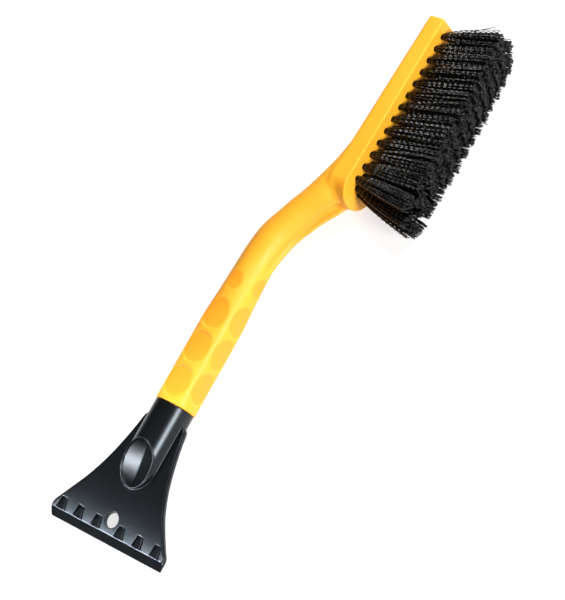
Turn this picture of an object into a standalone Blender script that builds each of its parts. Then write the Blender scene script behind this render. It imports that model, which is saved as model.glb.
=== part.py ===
"""Ice scraper and snow brush: a bent plastic handle with a bristled head bar, and a scraper blade in its end.

The script works in millimetres in the handle's own frame and scales to metres at the end. In that frame
X runs along the grip from the scraper joint (x = 0) towards the brush tip, the bristles point to -Y, and
the broad side of the blade faces +Z. The finished assembly lies on its side, with the origin under the
middle of its box.
"""

import math

import bmesh
import bpy
import numpy as np
from mathutils import Vector

MM = 0.001
GAP = 0.3

# Handle: x, upper y, lower y, half depth in z, and squareness of the section (2 is an ellipse).
HANDLE_STATIONS = (
    (0.0, 16.5, -16.5, 16.5, 2.0),
    (9.0, 15.0, -15.0, 15.0, 2.8),
    (66.0, 15.0, -15.0, 15.0, 2.8),
    (98.0, 14.4, -14.4, 14.4, 2.3),
    (124.0, 13.9, -14.1, 14.0, 2.0),
    (148.0, 11.0, -18.2, 15.2, 2.0),
    (172.0, 0.2, -28.4, 16.8, 2.1),
    (197.0, -13.5, -43.5, 18.6, 2.3),
    (222.0, -27.0, -47.5, 20.4, 3.2),
    (244.0, -34.0, -48.5, 20.8, 4.0),
)
HANDLE_RINGS = 46
HANDLE_SIDES = 40

# Finger flats: round, flat-floored shallow pockets on the four broad sides of the grip.
FLAT_PITCH = 29.4
FLAT_COUNT = 4
FLAT_RADIUS = 12.2
FLAT_HALF_ACROSS = 13.8
FLAT_FIRST_TOP = 17.5
FLAT_FIRST_SIDE = 20.0
FLAT_LAST_RADIUS = 8.0

# Flute along the inside of the bend.
FLUTE_START = 121.0
FLUTE_END = 196.0
FLUTE_RADIUS = 5.5
FLUTE_DEPTHS = (2.2, 5.0)

# Socket and hollow in the grip.
SOCKET_RADIUS = 12.8
SOCKET_DEPTH = 36.0
HOLLOW_RADIUS = 10.0
HOLLOW_END = 112.0

# Brush head bar.
BAR_START = 193.0
BAR_END = 353.0
BAR_HALF_WIDTH = 21.0
BAR_NOSE = 17.0
BAR_EDGE_RADIUS = 4.0
FACE_AT_START = -49.0
FACE_AT_END = -55.2
BACK_AT_START = -31.5
BACK_AT_END = -40.6

# Bristle tufts.
ROW_Z = (9.9, 3.3, -3.3, -9.9)
ROW_FIRST_X = (214.4, 209.1, 207.1, 209.9)
ROW_COUNT = (13, 13, 14, 13)
TUFT_PITCH = 10.7
TUFT_HOLE_RADIUS = 2.4
TUFT_HOLE_DEPTH = 9.0
TUFT_ROOT_RADIUS = 2.1
TUFT_TIP_RADIUS = 4.9
TIP_Y = -105.0
TIP_BOW = 3.6
TUFT_SIDES = 8
LEAN_ALONG = ((0.0, -12.0), (0.04, -8.5), (0.075, -4.0), (0.15, 2.0), (0.25, 6.0), (0.5, 9.0), (1.0, 9.6))
LEAN_ACROSS = 4.4

# Scraper head.
NECK_RADIUS = 15.9
TENON_RADIUS = SOCKET_RADIUS - GAP
TENON_LENGTH = 34.0
TENON_BORE = 9.6
TENON_BORE_END = -10.0
BLADE_EDGE_X = -114.4
BEVEL_LENGTH = 6.6
PLATE_THICKNESS = 4.0
EDGE_LAND = 0.7
PLATE_STEPS = 4
PLATE_BEND_X = -50.0
PLATE_DROP = 5.8
PLATE_DROP_POWER = 3.2
PLATE_HALF_WIDTHS = (
    (-114.4, 57.0),
    (-106.0, 58.4),
    (-103.6, 57.9),
    (-99.0, 54.9),
    (-89.0, 48.2),
    (-75.0, 39.6),
    (-57.0, 31.6),
    (-41.0, 26.6),
    (-25.0, 22.7),
    (-14.5, 20.6),
    (-11.5, 18.4),
)
NECK_END = -69.6
HANG_HOLE_X = -96.9
HANG_HOLE_RADIUS = 6.1
POCKET_X = (-106.6, -98.0)
POCKET_Y = (12.0, 30.6, 48.6)
POCKET_HALF_WIDTHS = (4.6, 2.9)
POCKET_DEPTH = 2.6
THUMB_X = -51.0
THUMB_Z = 7.6
THUMB_SLOPE = math.radians(16.7)
THUMB_HALF_LENGTH = 19.3
THUMB_HALF_WIDTH = 13.7
THUMB_DEPTH = 4.2
THUMB_SIDES = 28
SLOPE_BEND = (4.0, 0.0147)
PAD_HALF_LENGTH = 20.2

YELLOW = (1.0, 0.52, 0.03, 1.0)
BLACK = (0.012, 0.013, 0.015, 1.0)
BRISTLE_BLACK = (0.008, 0.008, 0.009, 1.0)


def smooth_table(x, table, column):
    """A monotone cubic curve through one column of a table whose first column is x."""
    xs = [row[0] for row in table]
    ys = [row[column] for row in table]
    x = min(max(x, xs[0]), xs[-1])
    slopes = [(b - a) / (q - p) for a, b, p, q in zip(ys, ys[1:], xs, xs[1:])]
    ends = [slopes[0]]
    for left, right in zip(slopes, slopes[1:]):
        ends.append(0.0 if left * right <= 0 else 2 * left * right / (left + right))
    ends.append(slopes[-1])
    i = max(j for j in range(len(xs) - 1) if x >= xs[j])
    step = xs[i + 1] - xs[i]
    t = (x - xs[i]) / step
    h00 = (1 + 2 * t) * (1 - t) ** 2
    h01 = t * t * (3 - 2 * t)
    h10 = t * (1 - t) ** 2
    h11 = t * t * (t - 1)
    return h00 * ys[i] + h01 * ys[i + 1] + step * (h10 * ends[i] + h11 * ends[i + 1])


def superellipse(half_y, half_z, squareness, sides):
    """Points (y, z) of a closed superellipse, counter-clockwise seen from +X."""
    points = []
    for k in range(sides):
        angle = 2 * math.pi * (k + 0.5) / sides
        c = math.cos(angle)
        s = math.sin(angle)
        reach = (abs(c) ** squareness + abs(s) ** squareness) ** (-1 / squareness)
        points.append((half_y * c * reach, half_z * s * reach))
    return points


def mesh_object(name, bm, helper=False):
    """Puts the bmesh in a new object; a helper is a cutter that isn't part of the model."""
    bmesh.ops.recalc_face_normals(bm, faces=bm.faces)
    mesh = bpy.data.meshes.new(name)
    bm.to_mesh(mesh)
    bm.free()
    obj = bpy.data.objects.new(name, mesh)
    bpy.context.scene.collection.objects.link(obj)
    if helper:
        obj.hide_render = True
        obj.display_type = "WIRE"
    return obj


def add_loft(bm, rings):
    """Joins rings of equal length with quads and closes both ends."""
    rows = [[bm.verts.new(point) for point in ring] for ring in rings]
    count = len(rows[0])
    for first, second in zip(rows, rows[1:]):
        for k in range(count):
            following = (k + 1) % count
            bm.faces.new((first[k], first[following], second[following], second[k]))
    bm.faces.new(rows[0])
    bm.faces.new(rows[-1])


def loft(name, rings, helper=False):
    bm = bmesh.new()
    add_loft(bm, rings)
    return mesh_object(name, bm, helper)


def round_ring(centre, axis, radius, sides):
    """A ring of points round an axis."""
    axis = Vector(axis).normalized()
    side = axis.orthogonal().normalized()
    other = axis.cross(side)
    ring = []
    for k in range(sides):
        angle = 2 * math.pi * k / sides
        ring.append(Vector(centre) + radius * (math.cos(angle) * side + math.sin(angle) * other))
    return ring


def combine(target, other, operation):
    """Applies one exact Boolean and removes the other object."""
    modifier = target.modifiers.new(operation, "BOOLEAN")
    modifier.operation = operation
    modifier.solver = "EXACT"
    modifier.object = other
    bpy.context.view_layer.update()
    graph = bpy.context.evaluated_depsgraph_get()
    mesh = bpy.data.meshes.new_from_object(target.evaluated_get(graph))
    target.modifiers.clear()
    old = target.data
    target.data = mesh
    bpy.data.meshes.remove(old)
    bpy.data.objects.remove(other)


def handle_section(x, sides):
    upper = smooth_table(x, HANDLE_STATIONS, 1)
    lower = smooth_table(x, HANDLE_STATIONS, 2)
    depth = smooth_table(x, HANDLE_STATIONS, 3)
    squareness = smooth_table(x, HANDLE_STATIONS, 4)
    middle = (upper + lower) / 2
    section = superellipse((upper - lower) / 2, depth, squareness, sides)
    return [(x, middle + y, z) for y, z in section]


def make_grip_and_neck():
    last = HANDLE_STATIONS[-1][0]
    xs = [last * k / (HANDLE_RINGS - 1) for k in range(HANDLE_RINGS)]
    return loft("handle", [handle_section(x, HANDLE_SIDES) for x in xs])


def face_y(x):
    """The bristle face of the head bar."""
    return FACE_AT_START + (FACE_AT_END - FACE_AT_START) * (x - BAR_START) / (BAR_END - BAR_START)


def back_y(x):
    """The back of the head bar."""
    return BACK_AT_START + (BACK_AT_END - BACK_AT_START) * (x - BAR_START) / (BAR_END - BAR_START)


def bar_outline(inset, steps=14):
    """The bar's outline in x and z, with a rounded nose at the grip end and a square tip, shrunk by inset."""
    half = BAR_HALF_WIDTH - inset
    nose = BAR_NOSE - inset
    middle = BAR_START + BAR_NOSE
    points = []
    for k in range(steps + 1):
        angle = math.pi * (k / steps - 0.5)
        points.append((middle - nose * math.cos(angle), -half * math.sin(angle)))
    points.append((BAR_END - inset, -half))
    points.append((BAR_END - inset, half))
    return points


def make_bar():
    rings = []
    rings.append([(x, face_y(x), z) for x, z in bar_outline(0.0)])
    for k in range(4):
        angle = math.pi / 2 * k / 3
        inset = BAR_EDGE_RADIUS * (1 - math.cos(angle))
        rise = BAR_EDGE_RADIUS * (1 - math.sin(angle))
        rings.append([(x, back_y(x) - rise, z) for x, z in bar_outline(inset)])
    return loft("bar", rings)


def flat_cutter(x, radius, turn):
    """A disc that planes one finger flat; turn is the side it faces, in quarter turns from +Z towards -Y."""
    outwards = Vector((0.0, -math.sin(turn * math.pi / 2), math.cos(turn * math.pi / 2)))
    centre = Vector((x, 0.0, 0.0))
    rings = []
    for reach, grow in ((FLAT_HALF_ACROSS, 0.0), (FLAT_HALF_ACROSS + 8.0, 2.0)):
        rings.append(round_ring(centre + reach * outwards, outwards, radius + grow, 28))
    return rings


def make_flat_cutters():
    bm = bmesh.new()
    for turn in range(4):
        first = FLAT_FIRST_TOP if turn % 2 == 0 else FLAT_FIRST_SIDE
        for k in range(FLAT_COUNT):
            radius = FLAT_RADIUS if k < FLAT_COUNT - 1 else FLAT_LAST_RADIUS
            add_loft(bm, flat_cutter(first + k * FLAT_PITCH, radius, turn))
    return mesh_object("flat_cutters", bm, helper=True)


def make_flute_cutter(steps=16):
    """A fat rod that follows the underside of the bend and sinks deeper into it towards the head bar."""
    first, last = FLUTE_DEPTHS
    rings = []
    for k in range(steps + 1):
        x = FLUTE_START + (FLUTE_END - FLUTE_START) * k / steps
        depth = first + (last - first) * k / steps
        centre = smooth_table(x, HANDLE_STATIONS, 2) - FLUTE_RADIUS + depth
        rings.append(round_ring((x, centre, 0.0), (1, 0, 0), FLUTE_RADIUS, 16))
    return loft("flute_cutter", rings, helper=True)


def make_bore_cutter():
    profile = (
        (-1.0, SOCKET_RADIUS),
        (SOCKET_DEPTH, SOCKET_RADIUS),
        (SOCKET_DEPTH + 0.01, HOLLOW_RADIUS),
        (HOLLOW_END, HOLLOW_RADIUS),
    )
    rings = [round_ring((x, 0.0, 0.0), (1, 0, 0), radius, 32) for x, radius in profile]
    return loft("bore_cutter", rings, helper=True)


def tip_y(x):
    """Where a tuft with its root at x ends; the tips stand on a slightly bowed line."""
    share = (x - BAR_START) / (BAR_END - BAR_START)
    return TIP_Y - TIP_BOW * (1 - (2 * share - 1) ** 2)


def tuft_places():
    """Row, number, root point on the bristle face, and direction of every tuft."""
    first = min(ROW_FIRST_X)
    span = max(x + (n - 1) * TUFT_PITCH for x, n in zip(ROW_FIRST_X, ROW_COUNT)) - first
    for row, (z, start, count) in enumerate(zip(ROW_Z, ROW_FIRST_X, ROW_COUNT), 1):
        for number in range(count):
            x = start + number * TUFT_PITCH
            along = math.radians(smooth_table((x - first) / span, LEAN_ALONG, 1))
            across = math.radians(LEAN_ACROSS * z / max(ROW_Z))
            direction = Vector((math.tan(along), -1.0, math.tan(across))).normalized()
            yield row, number + 1, Vector((x, face_y(x), z)), direction


def make_tuft_hole_cutters():
    bm = bmesh.new()
    for _, _, root, _ in tuft_places():
        ends = (root - Vector((0, 2.0, 0)), root + Vector((0, TUFT_HOLE_DEPTH, 0)))
        add_loft(bm, [round_ring(end, (0, 1, 0), TUFT_HOLE_RADIUS, TUFT_SIDES) for end in ends])
    return mesh_object("tuft_hole_cutters", bm, helper=True)


def make_handle():
    handle = make_grip_and_neck()
    combine(handle, make_flat_cutters(), "DIFFERENCE")
    combine(handle, make_flute_cutter(), "DIFFERENCE")
    combine(handle, make_bar(), "UNION")
    combine(handle, make_bore_cutter(), "DIFFERENCE")
    combine(handle, make_tuft_hole_cutters(), "DIFFERENCE")
    return handle


def make_tuft(row, number, root, direction):
    """A bundle of bristle as a slim cone, straight in its hole and flared outside it."""
    straight = Vector((0.0, -1.0, 0.0))
    tip_axis = (straight + 2 * direction).normalized()
    length = (tip_y(root.x) - root.y) / direction.y
    rings = [
        round_ring(root - (TUFT_HOLE_DEPTH - GAP) * straight, straight, TUFT_ROOT_RADIUS, TUFT_SIDES),
        round_ring(root, straight, TUFT_ROOT_RADIUS, TUFT_SIDES),
        round_ring(root + length * direction, tip_axis, TUFT_TIP_RADIUS, TUFT_SIDES),
    ]
    return loft(f"tuft_{row}_{number:02d}", rings)


def plate_middle_z(x):
    """The middle of the blade plate: level near the neck, then curving down to the edge."""
    fall = max(0.0, (PLATE_BEND_X - x) / (PLATE_BEND_X - BLADE_EDGE_X))
    return -PLATE_DROP * fall**PLATE_DROP_POWER


def plate_section(x):
    """One cross-section of the plate, thinned from above to the scraping edge by the front bevel."""
    half = smooth_table(x, PLATE_HALF_WIDTHS, 1)
    bottom = plate_middle_z(x) - PLATE_THICKNESS / 2
    share = min(1.0, (x - BLADE_EDGE_X) / BEVEL_LENGTH)
    top = bottom + EDGE_LAND + (PLATE_THICKNESS - EDGE_LAND) * share
    ease = min(0.8, (top - bottom) / 3)
    return [
        (x, half, bottom + ease),
        (x, half, top - ease),
        (x, half - ease, top),
        (x, -half + ease, top),
        (x, -half, top - ease),
        (x, -half, bottom + ease),
        (x, -half + ease, bottom),
        (x, half - ease, bottom),
    ]


def make_plate():
    tabled = [x for x, _ in PLATE_HALF_WIDTHS]
    xs = tabled + [BLADE_EDGE_X + BEVEL_LENGTH]
    for first, second in zip(tabled[2:], tabled[3:]):
        xs += [first + (second - first) * k / PLATE_STEPS for k in range(1, PLATE_STEPS)]
    return loft("scraper_head", [plate_section(x) for x in sorted(xs)])


def slope_height(u):
    """How far the neck's sloping face curves up from its plane, at u along the plane."""
    start, bend = SLOPE_BEND
    return bend * max(u - start, 0.0) ** 2


def make_neck(steps=20, sides=40):
    """The round neck; slopes on both faces run down to the plate, and its end narrows to an oval pad."""
    rings = []
    for k in range(steps + 1):
        x = NECK_END + (-GAP - NECK_END) * k / steps
        u = (x - THUMB_X) / math.cos(THUMB_SLOPE)
        top = THUMB_Z + (x - THUMB_X) * math.tan(THUMB_SLOPE) + slope_height(u) / math.cos(THUMB_SLOPE)
        half = NECK_RADIUS * math.sqrt(1 - (min(u, 0.0) / PAD_HALF_LENGTH) ** 2)
        section = superellipse(half, NECK_RADIUS, 2.0, sides)
        rings.append([(x, y, max(-top, min(top, z))) for y, z in section])
    return loft("neck", rings)


def make_tenon():
    profile = ((-6.0, TENON_RADIUS), (TENON_LENGTH - 1.5, TENON_RADIUS), (TENON_LENGTH, TENON_RADIUS - 1.0))
    return loft("tenon", [round_ring((x, 0, 0), (1, 0, 0), radius, 32) for x, radius in profile])


def make_tenon_bore_cutter():
    ends = (TENON_BORE_END, TENON_LENGTH + 1.0)
    rings = [round_ring((x, 0, 0), (1, 0, 0), TENON_BORE, 24) for x in ends]
    return loft("tenon_bore_cutter", rings, helper=True)


def make_hang_hole_cutter():
    middle = plate_middle_z(HANG_HOLE_X)
    rings = [
        round_ring((HANG_HOLE_X, 0.0, middle + side * PLATE_THICKNESS * 2), (0, 0, 1), HANG_HOLE_RADIUS, 28)
        for side in (-1, 1)
    ]
    return loft("hang_hole_cutter", rings, helper=True)


def make_pocket_cutters():
    """Six tapered pockets behind the edge, wider towards it."""
    bm = bmesh.new()
    front, back = POCKET_X
    for y in sorted([-y for y in POCKET_Y] + list(POCKET_Y)):
        rings = []
        for x, half in ((front, POCKET_HALF_WIDTHS[0]), (back, POCKET_HALF_WIDTHS[1])):
            top = plate_middle_z(x) + PLATE_THICKNESS / 2
            floor = top - POCKET_DEPTH
            corners = ((-half, floor), (half, floor), (half, top + 3), (-half, top + 3))
            rings.append([(x, y + across, z) for across, z in corners])
        add_loft(bm, rings)
    return mesh_object("pocket_cutters", bm, helper=True)


def thumb_ring(share, height):
    """An oval ring over the thumb recess's sloping plane; height gives each point's place above it."""
    ring = []
    for k in range(THUMB_SIDES):
        angle = 2 * math.pi * k / THUMB_SIDES
        u = share * THUMB_HALF_LENGTH * math.cos(angle)
        v = share * THUMB_HALF_WIDTH * math.sin(angle)
        w = height(angle)
        x = THUMB_X + u * math.cos(THUMB_SLOPE) - w * math.sin(THUMB_SLOPE)
        ring.append((x, v, THUMB_Z + u * math.sin(THUMB_SLOPE) + w * math.cos(THUMB_SLOPE)))
    return ring


def make_thumb_cutter():
    """An oval scoop whose two halves meet in a crease along its middle."""
    rings = []
    for share in (0.02, 0.3, 0.55, 0.8, 1.0):

        def floor(angle, share=share):
            along = share * math.cos(angle)
            return -THUMB_DEPTH * (math.sqrt(1 - along**2) - share * abs(math.sin(angle))) - 0.1

        rings.append(thumb_ring(share, floor))
    rings.append(thumb_ring(1.0, lambda angle: 14.0))
    return loft("thumb_cutter", rings, helper=True)


def make_scraper_head():
    head = make_plate()
    combine(head, make_neck(), "UNION")
    combine(head, make_tenon(), "UNION")
    combine(head, make_tenon_bore_cutter(), "DIFFERENCE")
    combine(head, make_hang_hole_cutter(), "DIFFERENCE")
    combine(head, make_pocket_cutters(), "DIFFERENCE")
    combine(head, make_thumb_cutter(), "DIFFERENCE")
    return head


def material(name, colour, roughness):
    made = bpy.data.materials.new(name)
    made.use_nodes = True
    shader = made.node_tree.nodes["Principled BSDF"]
    shader.inputs["Base Color"].default_value = colour
    shader.inputs["Roughness"].default_value = roughness
    shader.inputs["Metallic"].default_value = 0.0
    made.diffuse_color = colour
    return made


def finish(obj, finish_material, angle):
    obj.data.materials.clear()
    obj.data.materials.append(finish_material)
    obj.data.shade_smooth()
    obj.data.set_sharp_from_angle(angle=math.radians(angle))


def place(objects):
    """Scales to metres and puts the origin under the middle of the assembly's box."""
    corners = []
    for obj in objects:
        points = np.empty(len(obj.data.vertices) * 3, np.float32)
        obj.data.vertices.foreach_get("co", points)
        points = points.reshape(-1, 3)
        corners += [points.min(axis=0), points.max(axis=0)]
    low = np.min(corners, axis=0)
    high = np.max(corners, axis=0)
    origin = Vector(((low[0] + high[0]) / 2, (low[1] + high[1]) / 2, low[2]))
    for obj in objects:
        for vertex in obj.data.vertices:
            vertex.co = (vertex.co - origin) * MM


def main():
    for obj in list(bpy.data.objects):
        bpy.data.objects.remove(obj)
    handle = make_handle()
    scraper = make_scraper_head()
    tufts = [make_tuft(*tuft) for tuft in tuft_places()]
    finish(handle, material("yellow_plastic", YELLOW, 0.35), 30)
    finish(scraper, material("black_plastic", BLACK, 0.4), 30)
    bristle = material("black_bristle", BRISTLE_BLACK, 0.5)
    for tuft in tufts:
        finish(tuft, bristle, 60)
    place([handle, scraper] + tufts)


main()
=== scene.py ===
"""Looks of the ice scraper and snow brush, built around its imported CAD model.

Lengths are in millimetres in the handle's own frame, as in part.py: X runs along the grip from the scraper
joint (x = 0) towards the brush tip, the bristles point to -Y, and the broad side of the blade faces +Z. The
moulded pieces are distance functions, negative inside, that are turned into dense smooth meshes. Each tuft
is a bundle of crimped filaments. Everything is scaled to metres and put in the CAD model's place as its mesh
is made.
"""

import math

import bpy
import numpy as np
from mathutils import Matrix, Vector


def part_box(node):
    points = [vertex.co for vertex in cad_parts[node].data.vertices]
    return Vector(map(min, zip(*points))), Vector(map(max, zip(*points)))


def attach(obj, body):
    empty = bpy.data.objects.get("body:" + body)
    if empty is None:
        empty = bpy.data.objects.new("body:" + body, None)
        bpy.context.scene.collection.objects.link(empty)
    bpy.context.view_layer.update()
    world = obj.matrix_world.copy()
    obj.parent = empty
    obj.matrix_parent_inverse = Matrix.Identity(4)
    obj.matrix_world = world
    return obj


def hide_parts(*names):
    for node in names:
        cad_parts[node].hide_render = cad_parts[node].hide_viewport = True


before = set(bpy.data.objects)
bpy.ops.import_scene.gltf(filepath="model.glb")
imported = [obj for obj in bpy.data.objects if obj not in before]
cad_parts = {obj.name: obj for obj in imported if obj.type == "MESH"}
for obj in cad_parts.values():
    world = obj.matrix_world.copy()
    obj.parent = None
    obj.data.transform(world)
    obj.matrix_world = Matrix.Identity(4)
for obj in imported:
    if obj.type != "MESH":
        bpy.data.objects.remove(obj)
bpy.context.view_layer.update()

MM = 0.001

# Handle: x, upper y, lower y, half depth in z, and squareness of the section (2 is an ellipse).
HANDLE_STATIONS = (
    (0.0, 16.5, -16.5, 16.5, 2.0),
    (9.0, 15.0, -15.0, 15.0, 2.8),
    (66.0, 15.0, -15.0, 15.0, 2.8),
    (98.0, 14.4, -14.4, 14.4, 2.3),
    (124.0, 13.9, -14.1, 14.0, 2.0),
    (148.0, 11.0, -18.2, 15.2, 2.0),
    (172.0, 0.2, -28.4, 16.8, 2.1),
    (197.0, -13.5, -43.5, 18.6, 2.3),
    (222.0, -27.0, -47.5, 20.4, 3.2),
    (244.0, -34.0, -48.5, 20.8, 4.0),
)

# Finger flats: round, shallow, slightly crowned pockets on the four broad sides of the grip.
FLAT_PITCH = 29.4
FLAT_COUNT = 4
FLAT_RADIUS = 12.2
FLAT_LAST_RADIUS = 8.0
FLAT_HALF_ACROSS = 13.7
FLAT_FIRST_TOP = 17.5
FLAT_FIRST_SIDE = 20.0
FLAT_RIM_SLOPE = 0.9
FLAT_CROWN_RADIUS = 60.0
FLAT_END_RISE = 0.5
# Painted shade on the flats, drawn in a deeper orange: where a side begins, the patch's width over its
# length, and its soft edge.
FLAT_SHADE_HEIGHT = 11.0
FLAT_SHADE_ASPECT = 0.86
FLAT_SHADE_SOFTNESS = 0.8

# Flute along the inside of the bend.
FLUTE_START = 121.0
FLUTE_END = 199.0
FLUTE_RADIUS = 5.5
FLUTE_DEPTHS = (2.2, 5.0)

# Socket and hollow in the grip.
SOCKET_RADIUS = 12.8
SOCKET_DEPTH = 36.0
HOLLOW_RADIUS = 10.0
HOLLOW_END = 112.0

# Brush head bar.
BAR_START = 193.0
BAR_END = 353.0
BAR_HALF_WIDTH = 21.0
BAR_NOSE = 17.0
BAR_EDGE_RADIUS = 4.0
BAR_RIDGE_RADIUS = 0.8
FACE_AT_START = -49.0
FACE_AT_END = -55.2
BACK_AT_START = -31.5
BACK_AT_END = -40.6

# Bristle tufts.
ROW_Z = (9.9, 3.3, -3.3, -9.9)
ROW_FIRST_X = (214.4, 209.1, 207.1, 209.9)
ROW_COUNT = (13, 13, 14, 13)
TUFT_PITCH = 10.7
TUFT_HOLE_RADIUS = 2.4
TUFT_HOLE_SHOWN = 4.0
TIP_Y = -105.0
TIP_BOW = 3.6

# Degrees that the tufts lean towards the tip, against their share of the way along the bar.
LEAN_ALONG = ((0.0, -12.0), (0.04, -8.5), (0.075, -4.0), (0.15, 2.0), (0.25, 6.0), (0.5, 9.0), (1.0, 9.6))
LEAN_ACROSS = 4.4

# Crimped filaments of one tuft.
FILAMENTS = 86
FILAMENT_RADIUS = 0.4
FILAMENT_SIDES = 3
FILAMENT_POINTS = 42
BUNDLE_ROOT_RADIUS = 1.8
BUNDLE_TIP_ALONG = 6.9
BUNDLE_TIP_ACROSS = 4.6
BUNDLE_OPENING = 3.2
STRAY_TUFT = "tuft_1_13"
STRAY_LEAN = 28.0
STRAY_LENGTH = 42.0
CRIMP_LENGTH = 4.8
CRIMP_HEIGHT = 0.5
CRIMP_PHASE_SPREAD = 0.4
CRIMP_PLANE_SPREAD = 0.5
CRIMP_ONSET = 8.0
CRIMP_AT_ROOT = 0.35
LENGTH_JITTER = 0.8
BOW_SPREAD = 0.35
BRISTLE_SEED = 7
TUBE_GUIDE = (0.31, 0.17, 0.93)

# Scraper head.
GAP = 0.3
NECK_RADIUS = 15.9
TENON_RADIUS = SOCKET_RADIUS - GAP
TENON_LENGTH = 34.0
TENON_ROOT = 6.0
BLADE_EDGE_X = -114.4
BEVEL_LENGTH = 6.6
PLATE_THICKNESS = 4.0
EDGE_LAND = 0.7
PLATE_BEND_X = -50.0
PLATE_DROP = 5.8
PLATE_DROP_POWER = 3.2
PLATE_HALF_WIDTHS = (
    (-114.4, 57.0),
    (-106.0, 58.4),
    (-103.6, 57.9),
    (-99.0, 54.9),
    (-89.0, 48.2),
    (-75.0, 39.6),
    (-57.0, 31.6),
    (-41.0, 26.6),
    (-25.0, 22.7),
    (-14.5, 20.6),
    (-11.5, 18.4),
)
BLADE_HALF_WIDTH = 58.6
RIM_WIDTH = 1.3
RIM_DROP = 0.7
HANG_HOLE_X = -96.9
HANG_HOLE_RADIUS = 6.1
POCKET_X = (-106.6, -98.0)
POCKET_Y = (12.0, 30.6, 48.6)
POCKET_HALF_WIDTHS = (4.6, 2.9)
POCKET_DEPTH = 2.6
POCKET_FLOOR_SHARES = (0.65, 1.15)
POCKET_RIDGE_HEIGHT = 2.47
POCKET_RIDGE_STEEPNESS = 2.4
POCKET_RIDGE_PLACE = 0.55

# Thumb recess, on a sloping pad whose face curves up into the neck.
THUMB_X = -51.0
THUMB_Z = 7.6
THUMB_SLOPE = math.radians(16.7)
THUMB_HALF_LENGTH = 19.3
THUMB_HALF_WIDTH = 13.7
THUMB_DEPTH = 4.2
THUMB_BEAD = 0.6
PAD_HALF_LENGTH = 20.2
PAD_ROOT = 8.0
SLOPE_BEND = (4.0, 0.0147)

# Camera and lights: angles in degrees, distances in metres, focal length in millimetres.
CAMERA_TARGET = (107.94, -37.68, 0.0)
CAMERA_DISTANCE = 1.6
CAMERA_TILT = 35.0
CAMERA_SWING = 9.5
CAMERA_ROLL = 60.644
CAMERA_LENS = 135.48
CAMERA_SENSOR = 36.0
LIGHT_DISTANCE = 1.6
FLOOR_HALF = 4.0

# Grid cells of the meshes.
HANDLE_CELL = 0.75
SCRAPER_CELL = 0.5


# ---- distance functions --------------------------------------------------------------------------


def table(x, rows, column):
    """A monotone cubic curve through one column of rows whose first column is x, for an array of x."""
    xs = np.array([row[0] for row in rows])
    ys = np.array([row[column] for row in rows])
    secants = np.diff(ys) / np.diff(xs)
    total = secants[:-1] + secants[1:]
    product = secants[:-1] * secants[1:]
    inner = np.where(product > 0, 2 * product / np.where(total == 0, 1, total), 0)
    slopes = np.concatenate([secants[:1], inner, secants[-1:]])
    x = np.clip(x, xs[0], xs[-1])
    i = np.clip(np.searchsorted(xs, x, side="right") - 1, 0, len(xs) - 2)
    step = xs[i + 1] - xs[i]
    t = (x - xs[i]) / step
    level = (1 + 2 * t) * (1 - t) ** 2 * ys[i] + t * t * (3 - 2 * t) * ys[i + 1]
    return level + step * (t * (1 - t) ** 2 * slopes[i] + t * t * (t - 1) * slopes[i + 1])


def joined(a, b, radius):
    """The union of two solids, with a fillet."""
    inner = np.hypot(np.maximum(radius - a, 0), np.maximum(radius - b, 0))
    return np.maximum(radius, np.minimum(a, b)) - inner


def common(a, b, radius):
    """What two solids share, with rounded edges."""
    return -joined(-a, -b, radius)


def cut(a, b, radius):
    """The first solid less the second, with rounded edges."""
    return common(a, -b, radius)


def section_distance(y, z, half_y, half_z, squareness=2.0):
    """Distance to a superellipse, along the ray from its middle."""
    reach = (np.abs(y / half_y) ** squareness + np.abs(z / half_z) ** squareness) ** (1 / squareness)
    span = np.hypot(y, z)
    centre = -np.minimum(half_y, half_z)
    return np.where(reach < 0.05, centre, span - span / np.maximum(reach, 0.05))


def finger_flats(grip, x, y, z):
    """The grip planed by a row of round flats on each of its four sides, each flat with a sloping rim."""
    slant = math.hypot(1, FLAT_RIM_SLOPE)
    for across, height, first in ((y, z, FLAT_FIRST_TOP), (z, y, FLAT_FIRST_SIDE)):
        nearest = np.clip(np.round((x - first) / FLAT_PITCH), 0, FLAT_COUNT - 1)
        radius = np.where(nearest == FLAT_COUNT - 1, FLAT_LAST_RADIUS, FLAT_RADIUS)
        from_centre = np.hypot(x - first - nearest * FLAT_PITCH, across)
        floor = FLAT_HALF_ACROSS - across**2 / (2 * FLAT_CROWN_RADIUS)
        floor = floor + FLAT_END_RISE * ((x - first - nearest * FLAT_PITCH) / radius) ** 2
        floor = floor + FLAT_RIM_SLOPE * np.maximum(from_centre - radius, 0)
        grip = common(grip, (np.abs(height) - floor) / slant, 0.15)
    return grip


def flute_distance(x, y, z):
    """The long groove on the inside of the bend: a rod of air that follows the handle's underside."""
    lower = table(x, HANDLE_STATIONS, 2)
    slope = table(x + 1, HANDLE_STATIONS, 2) - lower
    depth = np.interp(x, (FLUTE_START, FLUTE_END), FLUTE_DEPTHS)
    below = (y - (lower - FLUTE_RADIUS + depth)) / np.hypot(1, slope)
    before = np.maximum(FLUTE_START + FLUTE_RADIUS - x, 0)
    rod = np.sqrt(below**2 + z**2 + before**2) - FLUTE_RADIUS
    return np.maximum(rod, x - FLUTE_END)


def along_bar(x, start, end):
    """A height that changes evenly from the bar's start to its end."""
    return start + (end - start) * (x - BAR_START) / (BAR_END - BAR_START)


def face_y(x):
    return along_bar(x, FACE_AT_START, FACE_AT_END)


def back_y(x):
    return along_bar(x, BACK_AT_START, BACK_AT_END)


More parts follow.
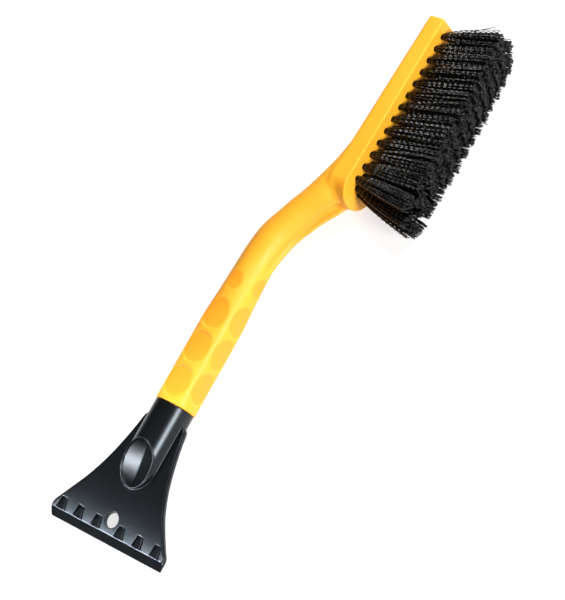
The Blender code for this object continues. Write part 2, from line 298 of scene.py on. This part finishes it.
def bar_distance(x, y, z):
    """The brush head bar: a rounded nose at the grip end, soft back edges, a crisp ridge round its face."""
    middle = BAR_START + BAR_NOSE
    nose = section_distance(x - middle, z, BAR_NOSE, BAR_HALF_WIDTH)
    outline = np.where(x < middle, nose, np.abs(z) - BAR_HALF_WIDTH)
    outline = common(outline, x - BAR_END, 1.0)
    backed = common(outline, y - back_y(x), BAR_EDGE_RADIUS)
    return common(backed, face_y(x) - y, BAR_RIDGE_RADIUS)


def bore_distance(x, y, z):
    """The socket for the scraper head's tenon, and the narrower hollow beyond it."""
    from_axis = np.hypot(y, z)
    socket = np.maximum(from_axis - SOCKET_RADIUS, x - SOCKET_DEPTH)
    return np.minimum(socket, np.maximum(from_axis - HOLLOW_RADIUS, x - HOLLOW_END))


def tuft_holes_distance(x, y, z):
    """The mouths of the tufts' holes in the bar's face."""
    holes = np.full(np.broadcast(x, y, z).shape, 1e3)
    for row_z, first, count in zip(ROW_Z, ROW_FIRST_X, ROW_COUNT):
        nearest = first + TUFT_PITCH * np.clip(np.round((x - first) / TUFT_PITCH), 0, count - 1)
        holes = np.minimum(holes, np.hypot(x - nearest, z - row_z) - TUFT_HOLE_RADIUS)
    return np.maximum(holes, y - face_y(x) - TUFT_HOLE_SHOWN)


def handle_distance(x, y, z):
    """The whole handle: grip and bend, faired into the brush head bar."""
    upper = table(x, HANDLE_STATIONS, 1)
    lower = table(x, HANDLE_STATIONS, 2)
    depth = table(x, HANDLE_STATIONS, 3)
    squareness = table(x, HANDLE_STATIONS, 4)
    grip = section_distance(y - (upper + lower) / 2, z, (upper - lower) / 2, depth, squareness)
    grip = finger_flats(grip, x, y, z)
    grip = cut(grip, flute_distance(x, y, z), 0.5)
    grip = np.maximum(grip, x - HANDLE_STATIONS[-1][0])
    fillet = np.interp(x, (205.0, 230.0), (3.0, 0.4))
    whole = joined(grip, bar_distance(x, y, z), fillet)
    whole = common(whole, np.abs(z) - BAR_HALF_WIDTH, 0.3)
    whole = common(whole, -x, 0.5)
    whole = cut(whole, bore_distance(x, y, z), 0.3)
    return cut(whole, tuft_holes_distance(x, y, z), 0.3)


def plate_middle_z(x):
    """The middle of the blade plate: level near the neck, then curving down to the edge."""
    fall = np.maximum(0.0, (PLATE_BEND_X - x) / (PLATE_BEND_X - BLADE_EDGE_X))
    return -PLATE_DROP * fall**PLATE_DROP_POWER


def plate_distance(x, y, z):
    """The blade plate, with a stepped rim along its sides and a bevel down to the scraping edge."""
    middle = plate_middle_z(x)
    half = table(x, PLATE_HALF_WIDTHS, 1)
    flare = table(x + 1, PLATE_HALF_WIDTHS, 1) - half
    side = (np.abs(y) - half) / np.hypot(1, flare)
    top = z - middle - PLATE_THICKNESS / 2
    bottom = middle - PLATE_THICKNESS / 2 - z
    inner = common(top, side + RIM_WIDTH, 0.3)
    outer = common(top + RIM_DROP, side, 0.35)
    plate = common(np.minimum(inner, outer), bottom, 0.5)
    rise = (PLATE_THICKNESS - EDGE_LAND) / BEVEL_LENGTH
    bevel_top = middle - PLATE_THICKNESS / 2 + EDGE_LAND + rise * (x - BLADE_EDGE_X)
    plate = common(plate, (z - bevel_top) / math.hypot(1, rise), 0.25)
    plate = common(plate, BLADE_EDGE_X - x, 0.25)
    return common(plate, x - PLATE_HALF_WIDTHS[-1][0], 1.5)


def thumb_frame(x, z):
    """Place along and above the sloping plane of the thumb recess."""
    u = (x - THUMB_X) * math.cos(THUMB_SLOPE) + (z - THUMB_Z) * math.sin(THUMB_SLOPE)
    w = (z - THUMB_Z) * math.cos(THUMB_SLOPE) - (x - THUMB_X) * math.sin(THUMB_SLOPE)
    return u, w


def neck_distance(x, y, z):
    """The round neck; slopes on both faces run down to the plate, and its end narrows to an oval pad."""
    neck = np.hypot(y, z) - NECK_RADIUS
    u, w = thumb_frame(x, np.abs(z))
    pad = section_distance(np.minimum(u, 0.0), y, PAD_HALF_LENGTH, NECK_RADIUS)
    neck = common(neck, pad, 0.4)
    start, bend = SLOPE_BEND
    neck = common(neck, w - bend * np.maximum(u - start, 0) ** 2, 0.5)
    return common(neck, x + GAP, 0.5)


def tenon_distance(x, y, z):
    """The round plug that sits in the grip's socket, rooted inside the neck."""
    middle = (TENON_LENGTH - TENON_ROOT) / 2
    ends = np.abs(x - middle) - (TENON_LENGTH + TENON_ROOT) / 2
    return common(np.hypot(y, z) - TENON_RADIUS, ends, 1.0)


def pockets_distance(x, y, z):
    """The tapered pockets behind the edge; a slim ridge stands along each one's far side."""
    front, back = POCKET_X
    share = (x - front) / (back - front)
    half = POCKET_HALF_WIDTHS[0] + (POCKET_HALF_WIDTHS[1] - POCKET_HALF_WIDTHS[0]) * share
    top = plate_middle_z(x) + PLATE_THICKNESS / 2
    size = np.abs(y)
    nearest = np.where(size < (POCKET_Y[0] + POCKET_Y[1]) / 2, POCKET_Y[0], POCKET_Y[1])
    nearest = np.where(size > (POCKET_Y[1] + POCKET_Y[2]) / 2, POCKET_Y[2], nearest)
    across = y - np.sign(y) * nearest
    walls = np.maximum(np.abs(across) - half, np.maximum(front - x, x - back))
    ridge = POCKET_RIDGE_HEIGHT - POCKET_RIDGE_STEEPNESS * np.abs(across + POCKET_RIDGE_PLACE * half)
    shallow, deep = POCKET_FLOOR_SHARES
    floor = top - POCKET_DEPTH * (shallow + (deep - shallow) * share) + np.maximum(ridge, 0)
    return common(walls, (floor - z) * 0.5, 0.15)


def thumb_oval(x, y, z):
    """The recess's oval outline as a column square to the slope, ending below the pad."""
    u, w = thumb_frame(x, z)
    return np.maximum(section_distance(u, y, THUMB_HALF_LENGTH, THUMB_HALF_WIDTH), -PAD_ROOT - w)


def thumb_distance(x, y, z):
    """An oval recess with a crease along its middle, sunk where the neck slopes down to the plate."""
    u, w = thumb_frame(x, z)
    reach = np.sqrt(np.clip(1 - (u / THUMB_HALF_LENGTH) ** 2, 0.02, 1))
    floor = -THUMB_DEPTH * reach * (1 - np.abs(y) / (THUMB_HALF_WIDTH * reach)) - 0.3
    return common(thumb_oval(x, y, z), (floor - w) * 0.9, 0.2)


def scraper_distance(x, y, z):
    """The whole scraper head; a thin bead runs round the rim of the thumb recess."""
    head = joined(plate_distance(x, y, z), neck_distance(x, y, z), 0.8)
    bead = np.hypot(thumb_oval(x, y, z), head) - THUMB_BEAD
    head = cut(head, thumb_distance(x, y, z), 0.15)
    head = joined(head, np.maximum(bead, -z), 0.15)
    head = np.minimum(head, tenon_distance(x, y, z))
    head = cut(head, np.hypot(x - HANG_HOLE_X, y) - HANG_HOLE_RADIUS, 0.5)
    return cut(head, pockets_distance(x, y, z), 0.12)


# ---- meshes --------------------------------------------------------------------------------------


def to_world(points):
    return (np.asarray(points) + ORIGIN_MM) * MM


def add_mesh(name, points, faces, material, sides=4):
    """A smooth-shaded mesh from arrays of points, in local millimetres, and faces of equal corner count."""
    mesh = bpy.data.meshes.new(name)
    mesh.vertices.add(len(points))
    mesh.vertices.foreach_set("co", to_world(points).astype(np.float32).ravel())
    mesh.loops.add(len(faces) * sides)
    mesh.loops.foreach_set("vertex_index", np.asarray(faces, np.int32).ravel())
    mesh.polygons.add(len(faces))
    mesh.polygons.foreach_set("loop_start", np.arange(0, len(faces) * sides, sides, dtype=np.int32))
    mesh.update(calc_edges=True)
    mesh.materials.append(material)
    mesh.shade_smooth()
    obj = bpy.data.objects.new(name, mesh)
    bpy.context.scene.collection.objects.link(obj)
    return obj


def gradient(distance, points, step=0.02):
    """The direction and rate of growth of the distance at each point."""
    slopes = []
    for axis in range(3):
        offset = np.zeros(3)
        offset[axis] = step
        ahead = distance(*(points + offset).T)
        behind = distance(*(points - offset).T)
        slopes.append((ahead - behind) / (2 * step))
    return np.stack(slopes, axis=1)


def pulled_to_surface(distance, points, cell, rounds=3):
    """The points moved onto the surface by Newton steps, none longer than half a cell."""
    for _ in range(rounds):
        slope = gradient(distance, points)
        size = np.maximum((slope**2).sum(axis=1), 0.05)
        move = -(distance(*points.T) / size)[:, None] * slope
        length = np.linalg.norm(move, axis=1, keepdims=True)
        points = points + move * np.minimum(1, 0.5 * cell / np.maximum(length, 1e-9))
    return points


def relaxed(points, faces):
    """Each point moved halfway to the middle of its faces' corners."""
    centres = points[faces].mean(axis=1)
    total = np.zeros_like(points)
    count = np.zeros(len(points))
    for corner in range(faces.shape[1]):
        np.add.at(total, faces[:, corner], centres)
        np.add.at(count, faces[:, corner], 1)
    return (points + total / np.maximum(count, 1)[:, None]) / 2


def surface(distance, low, high, cell):
    """Points and quads of the closed surface of zero distance, with one point in each crossed grid cell."""
    low = np.array(low) - 1.5 * cell
    counts = np.ceil((np.array(high) - low) / cell).astype(int) + 3
    x, y, z = (low[i] + cell * np.arange(counts[i]) for i in range(3))
    field = distance(x[:, None, None], y[None, :, None], z[None, None, :]).astype(np.float32)
    inside = field < 0
    corners = [(i, j, k) for i in (0, 1) for j in (0, 1) for k in (0, 1)]
    shape = counts - 1

    def shifted(values, corner):
        return values[tuple(slice(c, c + n) for c, n in zip(corner, shape))]

    filled = sum(shifted(inside, corner).astype(np.int8) for corner in corners)
    cells = np.argwhere((filled > 0) & (filled < 8))
    number = np.full(shape, -1, np.int64)
    number[tuple(cells.T)] = np.arange(len(cells))
    values = {corner: field[tuple((cells + corner).T)] for corner in corners}
    total = np.zeros((len(cells), 3))
    hits = np.zeros(len(cells))
    for corner in corners:
        for axis in range(3):
            if corner[axis]:
                continue
            other = tuple(1 if i == axis else c for i, c in enumerate(corner))
            a, b = values[corner], values[other]
            crossed = (a < 0) != (b < 0)
            share = np.where(crossed, a / np.where(crossed, a - b, 1), 0)
            place = np.array(corner, float)[None, :] + share[:, None] * np.eye(3)[axis]
            total += place * crossed[:, None]
            hits += crossed
    points = low + cell * (cells + total / hits[:, None])
    quads = []
    for axis in range(3):
        second, third = (axis + 1) % 3, (axis + 2) % 3
        here = [slice(1, -1)] * 3
        here[axis] = slice(0, -1)
        ahead = list(here)
        ahead[axis] = slice(1, None)
        starts, ends = inside[tuple(here)], inside[tuple(ahead)]
        for turned, crossing in ((False, starts & ~ends), (True, ends & ~starts)):
            edges = np.argwhere(crossing) + [0 if i == axis else 1 for i in range(3)]
            ring = []
            for back in ((0, 0), (1, 0), (1, 1), (0, 1)):
                cell_index = edges.copy()
                cell_index[:, second] -= back[0]
                cell_index[:, third] -= back[1]
                ring.append(number[tuple(cell_index.T)])
            quads.append(np.stack(ring[::-1] if turned else ring, axis=1))
    quads = np.concatenate(quads)
    points = pulled_to_surface(distance, points, cell)
    for _ in range(2):
        points = pulled_to_surface(distance, relaxed(points, quads), cell, rounds=2)
    return points, quads


# ---- materials -----------------------------------------------------------------------------------


def new_material(name, colour, roughness):
    material = bpy.data.materials.new(name)
    material.use_nodes = True
    shader = material.node_tree.nodes["Principled BSDF"]
    shader.inputs["Base Color"].default_value = (*colour, 1.0)
    shader.inputs["Roughness"].default_value = roughness
    return material, material.node_tree, shader


def noise(tree, scale, detail=3.0, stretch=(1, 1, 1)):
    """A noise pattern in the object's own space, in metres."""
    place = tree.nodes.new("ShaderNodeTexCoord")
    mapping = tree.nodes.new("ShaderNodeMapping")
    mapping.inputs["Scale"].default_value = stretch
    pattern = tree.nodes.new("ShaderNodeTexNoise")
    pattern.inputs["Scale"].default_value = scale
    pattern.inputs["Detail"].default_value = detail
    tree.links.new(place.outputs["Object"], mapping.inputs["Vector"])
    tree.links.new(mapping.outputs["Vector"], pattern.inputs["Vector"])
    return pattern.outputs["Fac"]


def spread(tree, value, low, high):
    """A map from a pattern's middle range to a range of numbers."""
    node = tree.nodes.new("ShaderNodeMapRange")
    node.inputs["From Min"].default_value = 0.3
    node.inputs["From Max"].default_value = 0.7
    node.inputs["To Min"].default_value = low
    node.inputs["To Max"].default_value = high
    tree.links.new(value, node.inputs["Value"])
    return node.outputs["Result"]


def mixed(tree, factor, first, second):
    """A blend from one colour to another; the first may be another node's output."""
    node = tree.nodes.new("ShaderNodeMix")
    node.data_type = "RGBA"
    if isinstance(first, tuple):
        node.inputs["A"].default_value = (*first, 1.0)
    else:
        tree.links.new(first, node.inputs["A"])
    node.inputs["B"].default_value = (*second, 1.0)
    tree.links.new(factor, node.inputs["Factor"])
    return node.outputs["Result"]


def add_bump(tree, shader, height, strength, distance):
    """A fine relief in the shading; the distance is in metres."""
    bump = tree.nodes.new("ShaderNodeBump")
    bump.inputs["Strength"].default_value = strength
    bump.inputs["Distance"].default_value = distance
    tree.links.new(height, bump.inputs["Height"])
    tree.links.new(bump.outputs["Normal"], shader.inputs["Normal"])


def flat_shade_share(points):
    """How much painted shade from a finger flat each point takes, from 0 to 1."""
    share = np.zeros(len(points))
    for first, side, across in ((FLAT_FIRST_TOP, 2, 1), (FLAT_FIRST_SIDE, 1, 2)):
        facing = np.abs(points[:, side]) > FLAT_SHADE_HEIGHT
        for k in range(FLAT_COUNT):
            radius = FLAT_RADIUS if k < FLAT_COUNT - 1 else FLAT_LAST_RADIUS
            along = points[:, 0] - first - k * FLAT_PITCH
            inside = radius - np.hypot(along, points[:, across] / FLAT_SHADE_ASPECT)
            share = np.maximum(share, np.clip(inside / FLAT_SHADE_SOFTNESS + 0.5, 0, 1) * facing)
    return share


def yellow_plastic():
    """Moulded polypropylene: warm yellow, slightly translucent, fine-grained, with painted shade in a deeper
    orange on the finger flats.
    """
    material, tree, shader = new_material("yellow_plastic_moulded", (1.0, 0.42, 0.02), 0.5)
    shader.inputs["Subsurface Weight"].default_value = 0.12
    shader.inputs["Subsurface Radius"].default_value = (1.0, 0.35, 0.05)
    shader.inputs["Subsurface Scale"].default_value = 0.004
    shader.inputs["Specular IOR Level"].default_value = 0.35
    flow = noise(tree, 28.0, 2.0, (0.35, 1, 1))
    colour = mixed(tree, spread(tree, flow, 0.0, 1.0), (1.0, 0.41, 0.022), (1.0, 0.45, 0.028))
    # Painted shade: the finger flats are drawn in a deeper orange.
    flat = tree.nodes.new("ShaderNodeAttribute")
    flat.attribute_name = "flat"
    colour = mixed(tree, flat.outputs["Fac"], colour, (1.0, 0.355, 0.017))
    tree.links.new(colour, shader.inputs["Base Color"])
    tree.links.new(spread(tree, noise(tree, 90.0), 0.42, 0.52), shader.inputs["Roughness"])
    add_bump(tree, shader, noise(tree, 2600.0, 2.0), 0.12, 0.0001)
    return material


def black_plastic():
    """Satin black plastic with a spark-eroded grain and light scuffs from use."""
    material, tree, shader = new_material("black_plastic_grained", (0.0015, 0.0017, 0.002), 0.27)
    shader.inputs["Specular IOR Level"].default_value = 0.4
    shader.inputs["Specular Tint"].default_value = (0.82, 0.91, 1.0, 1.0)
    scuffs = noise(tree, 60.0, 4.0, (0.3, 1, 1))
    colour = mixed(tree, spread(tree, scuffs, 0.0, 1.0), (0.001, 0.0011, 0.0014), (0.002, 0.0023, 0.0028))
    tree.links.new(colour, shader.inputs["Base Color"])
    tree.links.new(spread(tree, scuffs, 0.29, 0.31), shader.inputs["Roughness"])
    add_bump(tree, shader, noise(tree, 1500.0, 2.0), 0.04, 0.0001)
    return material


def bristle_plastic():
    """Black nylon filament with a slight sheen, a little paler on some strands."""
    material, tree, shader = new_material("black_bristle_nylon", (0.002, 0.002, 0.0023), 0.25)
    shader.inputs["Specular IOR Level"].default_value = 0.5
    strands = noise(tree, 450.0, 1.0, (1, 0.05, 1))
    colour = mixed(tree, spread(tree, strands, 0.0, 1.0), (0.001, 0.001, 0.0012), (0.004, 0.0042, 0.0048))
    tree.links.new(colour, shader.inputs["Base Color"])
    tree.links.new(spread(tree, strands, 0.16, 0.24), shader.inputs["Roughness"])
    add_bump(tree, shader, noise(tree, 3000.0, 1.0), 0.1, 0.00005)
    return material


def floor_material():
    """A pale floor that glows a little, so that it stays even and white under soft light."""
    material, _, shader = new_material("floor_white", (0.35, 0.35, 0.35), 0.9)
    shader.inputs["Specular IOR Level"].default_value = 0.1
    shader.inputs["Emission Color"].default_value = (1.0, 1.0, 1.0, 1.0)
    shader.inputs["Emission Strength"].default_value = 0.75
    return material


# ---- bristles ------------------------------------------------------------------------------------


def tip_y(x):
    """Where a tuft with its root at x ends; the tips stand on a slightly bowed line."""
    share = (x - BAR_START) / (BAR_END - BAR_START)
    return TIP_Y - TIP_BOW * (1 - (2 * share - 1) ** 2)


def tuft_places():
    """Name, root point on the bristle face, and direction of every tuft."""
    first = min(ROW_FIRST_X)
    span = max(x + (n - 1) * TUFT_PITCH for x, n in zip(ROW_FIRST_X, ROW_COUNT)) - first
    for row, (z, start, count) in enumerate(zip(ROW_Z, ROW_FIRST_X, ROW_COUNT), 1):
        for number in range(count):
            x = start + number * TUFT_PITCH
            along = math.radians(float(table(np.float64((x - first) / span), LEAN_ALONG, 1)))
            across = math.radians(LEAN_ACROSS * z / max(ROW_Z))
            direction = np.array((math.tan(along), -1.0, math.tan(across)))
            direction /= np.linalg.norm(direction)
            yield f"tuft_{row}_{number + 1:02d}", np.array((x, face_y(x), z)), direction


def tubes(paths, radius, sides):
    """Points and wall quads of thin tubes round paths of equal point count, and their points' numbers."""
    count, length, _ = paths.shape
    ahead = np.gradient(paths, axis=1)
    ahead /= np.linalg.norm(ahead, axis=2, keepdims=True)
    side = np.cross(ahead, TUBE_GUIDE)
    side /= np.linalg.norm(side, axis=2, keepdims=True)
    other = np.cross(ahead, side)
    rings = []
    for k in range(sides):
        angle = 2 * math.pi * k / sides
        rings.append(paths + radius * (math.cos(angle) * side + math.sin(angle) * other))
    points = np.stack(rings, axis=2)
    number = np.arange(count * length * sides).reshape(count, length, sides)
    turned = np.roll(number, -1, axis=2)
    walls = np.stack([number[:, :-1], turned[:, :-1], turned[:, 1:], number[:, 1:]], axis=-1).reshape(-1, 4)
    return points.reshape(-1, 3), walls, number


def make_tuft(name, root, direction, random):
    """A bundle of crimped filaments that leaves its hole straight, then leans and spreads."""
    straight = np.array((0.0, -1.0, 0.0))
    side = np.cross(direction, (1.0, 0.0, 0.0))
    side /= np.linalg.norm(side)
    other = np.cross(direction, side)
    angle = random.uniform(0, 2 * math.pi, FILAMENTS)
    share = np.sqrt((np.arange(FILAMENTS) + 0.5) / FILAMENTS)
    spot = np.stack([np.cos(angle) * share, np.sin(angle) * share], axis=1)
    corner = spot / np.abs(spot).max(axis=1, keepdims=True) * share[:, None]
    tip_spot = corner * np.array((BUNDLE_TIP_ACROSS, BUNDLE_TIP_ALONG))
    full = (tip_y(root[0]) - root[1]) / direction[1]
    length = full - random.uniform(0, LENGTH_JITTER, FILAMENTS) - tip_spot @ np.array((side[1], other[1]))
    t = np.linspace(0, 1, FILAMENT_POINTS)
    s = -TUFT_HOLE_SHOWN + t[None, :] * (length[:, None] + TUFT_HOLE_SHOWN)
    outside = np.clip(s / full, 0, 1)
    opening = (1 - np.exp(-BUNDLE_OPENING * outside)) / (1 - math.exp(-BUNDLE_OPENING))
    phase = random.uniform(0, 2 * math.pi) + random.normal(0, CRIMP_PHASE_SPREAD, FILAMENTS)
    wave = 2 * math.pi * s / CRIMP_LENGTH + phase[:, None]
    plane = random.normal(0, CRIMP_PLANE_SPREAD, FILAMENTS)
    onset = np.clip(outside * CRIMP_ONSET + CRIMP_AT_ROOT, 0, 1)
    crimp = CRIMP_HEIGHT * np.sin(wave) * onset
    bow = random.normal(0, BOW_SPREAD, (FILAMENTS, 2))
    opening = opening[..., None]
    bundle = BUNDLE_ROOT_RADIUS * (1 - opening) * spot[:, None] + opening * tip_spot[:, None]
    u = bundle[..., 0] + crimp * np.cos(plane)[:, None] + bow[:, :1] * outside**2
    v = bundle[..., 1] + crimp * np.sin(plane)[:, None] + bow[:, 1:] * outside**2
    reach = np.where(s[..., None] < 0, s[..., None] * straight, s[..., None] * direction)
    paths = root + reach + u[..., None] * side + v[..., None] * other
    if name == STRAY_TUFT:
        lean = math.radians(STRAY_LEAN)
        paths[-1] = root + STRAY_LENGTH * t[:, None] * np.array((math.sin(lean), -math.cos(lean), 0.0))
    points, walls, number = tubes(paths, FILAMENT_RADIUS, FILAMENT_SIDES)
    return points, walls, number


def make_tufts(material):
    random = np.random.default_rng(BRISTLE_SEED)
    pieces = []
    for name, root, direction in tuft_places():
        points, walls, number = make_tuft(name, root, direction, random)
        ends = np.concatenate([number[:, 0, ::-1], number[:, -1, :]])
        triangles = np.concatenate([walls[:, [0, 1, 2]], walls[:, [0, 2, 3]], ends])
        piece = add_mesh(name.replace("tuft", "bristles"), points, triangles, material, sides=3)
        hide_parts(name)
        pieces.append(piece)
    return pieces


# ---- scene ---------------------------------------------------------------------------------------


def place_camera():
    """The view from above and to the bristle side, rolled so that the grip leans to the right."""
    tilt = math.radians(CAMERA_TILT)
    swing = math.radians(CAMERA_SWING)
    roll = math.radians(CAMERA_ROLL)
    back = Vector(
        (-math.sin(swing), -math.cos(swing) * math.sin(tilt), math.cos(swing) * math.cos(tilt))
    )
    along = (Vector((1, 0, 0)) - back.x * back).normalized()
    beside = along.cross(back)
    right = math.cos(roll) * along + math.sin(roll) * beside
    up = math.sin(roll) * along - math.cos(roll) * beside
    target = Vector(to_world(CAMERA_TARGET))
    camera = bpy.data.objects.new("camera", bpy.data.cameras.new("camera"))
    bpy.context.scene.collection.objects.link(camera)
    turn = Matrix((right, up, back)).transposed().to_4x4()
    camera.matrix_world = Matrix.Translation(target + CAMERA_DISTANCE * back) @ turn
    camera.data.sensor_fit = "HORIZONTAL"
    camera.data.sensor_width = CAMERA_SENSOR
    camera.data.lens = CAMERA_LENS
    bpy.context.scene.camera = camera


def add_area(name, target, direction, size, power, beam=180.0, colour=(1, 1, 1)):
    """A soft square light, seen from the target in the given direction; a grid can narrow its beam."""
    light = bpy.data.objects.new(name, bpy.data.lights.new(name, "AREA"))
    bpy.context.scene.collection.objects.link(light)
    aim = Vector(direction).normalized()
    place = Vector(to_world(target)) + LIGHT_DISTANCE * aim
    light.matrix_world = Matrix.Translation(place) @ aim.to_track_quat("Z", "Y").to_matrix().to_4x4()
    light.data.shape = "SQUARE"
    light.data.size = size
    light.data.energy = power
    light.data.spread = math.radians(beam)
    light.data.color = colour


def light_scene():
    """A soft key and fill, a low light across the bristles, and two narrow beams on the black blade."""
    world = bpy.data.worlds.new("studio")
    bpy.context.scene.world = world
    world.use_nodes = True
    background = world.node_tree.nodes["Background"]
    background.inputs["Color"].default_value = (1.0, 1.0, 1.0, 1.0)
    background.inputs["Strength"].default_value = 0.06
    add_area("key", (40.0, 0.0, 0.0), (0.06, -0.885, 0.455), 0.4, 26.0)
    add_area("fill", (100.0, -20.0, 0.0), (0.7, -0.25, 0.67), 0.8, 25.5)
    add_area("side", (275.0, -80.0, 0.0), (0.8, 0.5, 0.33), 0.3, 7.0)
    add_area("recess", (THUMB_X - 35, 4.0, 5.0), (-0.436, 0.054, 0.9), 0.2, 0.1, 7.5)
    add_area("lip", (BLADE_EDGE_X + 4, 0.0, 0.0), (-0.45, 0.55, 0.7), 0.2, 0.15, 7.0, (0.85, 0.92, 1.0))


def make_floor():
    half = FLOOR_HALF
    corners = [(-half, -half, 0), (half, -half, 0), (half, half, 0), (-half, half, 0)]
    mesh = bpy.data.meshes.new("floor")
    mesh.from_pydata(corners, [], [(0, 1, 2, 3)])
    mesh.materials.append(floor_material())
    floor = bpy.data.objects.new("floor", mesh)
    bpy.context.scene.collection.objects.link(floor)


handle_low, handle_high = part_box("handle")
scraper_low, scraper_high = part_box("scraper_head")
middle_y = (scraper_low.y + scraper_high.y) / 2
middle_z = (handle_low.z + handle_high.z) / 2
ORIGIN_MM = np.array((handle_low.x, middle_y, middle_z)) / MM


def make_handle(material):
    """The yellow moulding, with its finger flats marked for their painted shade."""
    low = (0.0, FACE_AT_END, -BAR_HALF_WIDTH)
    high = (BAR_END, HANDLE_STATIONS[0][1], BAR_HALF_WIDTH)
    points, quads = surface(handle_distance, low, high, HANDLE_CELL)
    handle = add_mesh("handle_moulding", points, quads, material)
    # Painted shade on the finger flats, kept per point for the material.
    flat_shade_marks = handle.data.attributes.new("flat", "FLOAT", "POINT")
    flat_shade_marks.data.foreach_set("value", flat_shade_share(points).astype(np.float32))
    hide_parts("handle")
    return handle


def make_scraper(material):
    low = (BLADE_EDGE_X, -BLADE_HALF_WIDTH, -NECK_RADIUS)
    high = (TENON_LENGTH, BLADE_HALF_WIDTH, NECK_RADIUS)
    points, quads = surface(scraper_distance, low, high, SCRAPER_CELL)
    scraper = add_mesh("scraper_moulding", points, quads, material)
    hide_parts("scraper_head")
    return scraper


def main():
    handle = make_handle(yellow_plastic())
    scraper = make_scraper(black_plastic())
    tufts = make_tufts(bristle_plastic())
    for piece in [handle, scraper] + tufts:
        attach(piece, "root")
    make_floor()
    light_scene()
    place_camera()
    bpy.context.scene.view_settings.view_transform = "Standard"


main()
